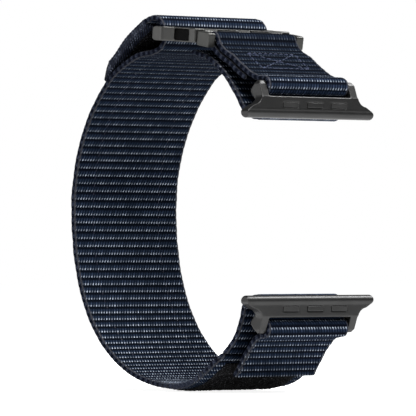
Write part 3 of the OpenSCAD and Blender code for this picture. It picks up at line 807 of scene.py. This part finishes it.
SMALL = (0.07, 3)        # voxel and rounds for the smallest nodes
eased("frame_body", "buckle_frame", BUCKLE_METAL, "buckle_metal", "frame")
eased("frame_inlays", "side_inlays", INLAY, "dark_inlay", "frame", 0.08, 3)
eased("clasp_body", "clasp_block", CLASP_METAL, "buckle_metal", "clasp")

# The leaf spring behind a latch button: the x of its back, how far it bows and its thickness
SPRING_BACK, SPRING_RISE, SPRING_T = 23.6, 0.36, 0.05
SPRING_HALF_L = 4.6 / 2
SPRING_SECTION = ((0, -0.36), (0, 0.36), (0.015, 0.4), (0.035, 0.4), (SPRING_T, 0.36), (SPRING_T, -0.36),
                  (0.035, -0.4), (0.015, -0.4))
LATCH_Y, LATCH_Z = 1.2, 21.65


def leaf_spring(up):
    """Points and faces of a bowed leaf behind a latch button, in the upper lug or the lower one."""
    rows = []
    for a in np.radians(np.linspace(-90, 90, 37)):
        x = SPRING_BACK + SPRING_T + 0.01 + SPRING_RISE * (1 + math.cos(2 * a))
        y = LATCH_Y + SPRING_HALF_L * 2 * a / math.pi
        rows.append([(x - dx, y, up * (LATCH_Z + dz)) for dx, dz in SPRING_SECTION])
    return skin(np.array(rows))


for where, up in (("upper", 1), ("lower", -1)):
    eased(where + "_lug_body", where + "_lug", LUG_METAL, "lug_metal", where + "_connector")
    eased(where + "_button_body", where + "_latch_button", LUG_METAL, "latch_metal", where + "_latch", *SMALL)
    spring = add_mesh(where + "_spring_leaf", *leaf_spring(up), PIN_STEEL, where + "_connector",
                      "spring_steel", [where + "_latch_spring"])
    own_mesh(spring)
    eased(where + "_pad_bodies", where + "_side_pads", PAD, "pad_polymer", where + "_connector", *SMALL)


# ---------------------------------------------------------------- stage, light and camera

LENS, SENSOR = 400, 36
CAMERA_AZIMUTH, CAMERA_ELEVATION = 52, -0.6
AIM = (-3.85, -4.93, 0.0)
VIEW_W = 90.4            # width of the picture at the aim, in millimetres
distance = VIEW_W / SENSOR * LENS
camera_data = bpy.data.cameras.new("camera")
camera_data.lens, camera_data.sensor_width = LENS, SENSOR
camera_data.clip_start, camera_data.clip_end = 0.05, 20
camera = bpy.data.objects.new("camera", camera_data)
bpy.context.scene.collection.objects.link(camera)
turn, lift = math.radians(CAMERA_AZIMUTH), math.radians(CAMERA_ELEVATION)
away = (math.sin(turn) * math.cos(lift), -math.cos(turn) * math.cos(lift), math.sin(lift))
camera.location = [(aim + distance * part) * MM for aim, part in zip(AIM, away)]
camera.rotation_euler = (math.radians(90) - lift, 0, turn)
bpy.context.scene.camera = camera

FLOOR = 3000             # from the middle of the floor to its sides
floor_z = cad_box[0][2] / MM - 0.2
floor_mesh = bpy.data.meshes.new("floor")
floor_mesh.from_pydata([(x * FLOOR * MM, y * FLOOR * MM, floor_z * MM) for x, y in
                        ((-1, -1), (1, -1), (1, 1), (-1, 1))], [], [(0, 1, 2, 3)])
floor = bpy.data.objects.new("floor", floor_mesh)
bpy.context.scene.collection.objects.link(floor)
pale = Tree("pale_floor", Roughness=0.9, Specular=0.2)
pale.set("Base Color", (0.86, 0.86, 0.86))
pale.set("Emission Color", (1, 1, 1))
straight = pale.node("LightPath").outputs["Is Camera Ray"]
pale.set("Emission Strength", pale.ramp(straight, 0, 1, 0.22, 0.9))
floor_mesh.materials.append(pale.material)


def area_light(name, azimuth, elevation, away, size, power):
    """A soft square light that faces the band from a direction, at a distance, in millimetres and watts."""
    data = bpy.data.lights.new(name, "AREA")
    data.shape, data.size, data.energy = "SQUARE", size * MM, power
    light = bpy.data.objects.new(name, data)
    a, e = math.radians(azimuth), math.radians(elevation)
    direction = (math.sin(a) * math.cos(e), -math.cos(a) * math.cos(e), math.sin(e))
    light.location = [away * MM * v for v in direction]
    light.rotation_euler = (math.radians(90) - e, 0, a)
    bpy.context.scene.collection.objects.link(light)


area_light("key", 70, 60, 500, 260, 4.8)
area_light("left", -38, 12, 600, 220, 0.75)
area_light("back", 165, 48, 600, 200, 3.4)

world = bpy.data.worlds.new("studio")
bpy.context.scene.world = world
world.use_nodes = True
sky = world.node_tree
background = sky.nodes["Background"]
seen = sky.nodes.new("ShaderNodeBackground")
seen.inputs["Color"].default_value = (1, 1, 1, 1)
background.inputs["Color"].default_value = (0.95, 0.97, 1, 1)
background.inputs["Strength"].default_value = 0.12
chooser = sky.nodes.new("ShaderNodeMixShader")
rays = sky.nodes.new("ShaderNodeLightPath")
sky.links.new(rays.outputs["Is Camera Ray"], chooser.inputs[0])
sky.links.new(background.outputs[0], chooser.inputs[1])
sky.links.new(seen.outputs[0], chooser.inputs[2])
sky.links.new(chooser.outputs[0], sky.nodes["World Output"].inputs["Surface"])
bpy.context.scene.view_settings.view_transform = "Standard"

NODE_MATERIALS = {"retainer": LUG_METAL, "pin": PIN_STEEL, "bar": PIN_STEEL}
for node_name, node_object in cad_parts.items():
    material = NODE_MATERIALS.get(node_name.split("_")[-1])
    if material:
        node_object.data.materials.clear()
        node_object.data.materials.append(material)
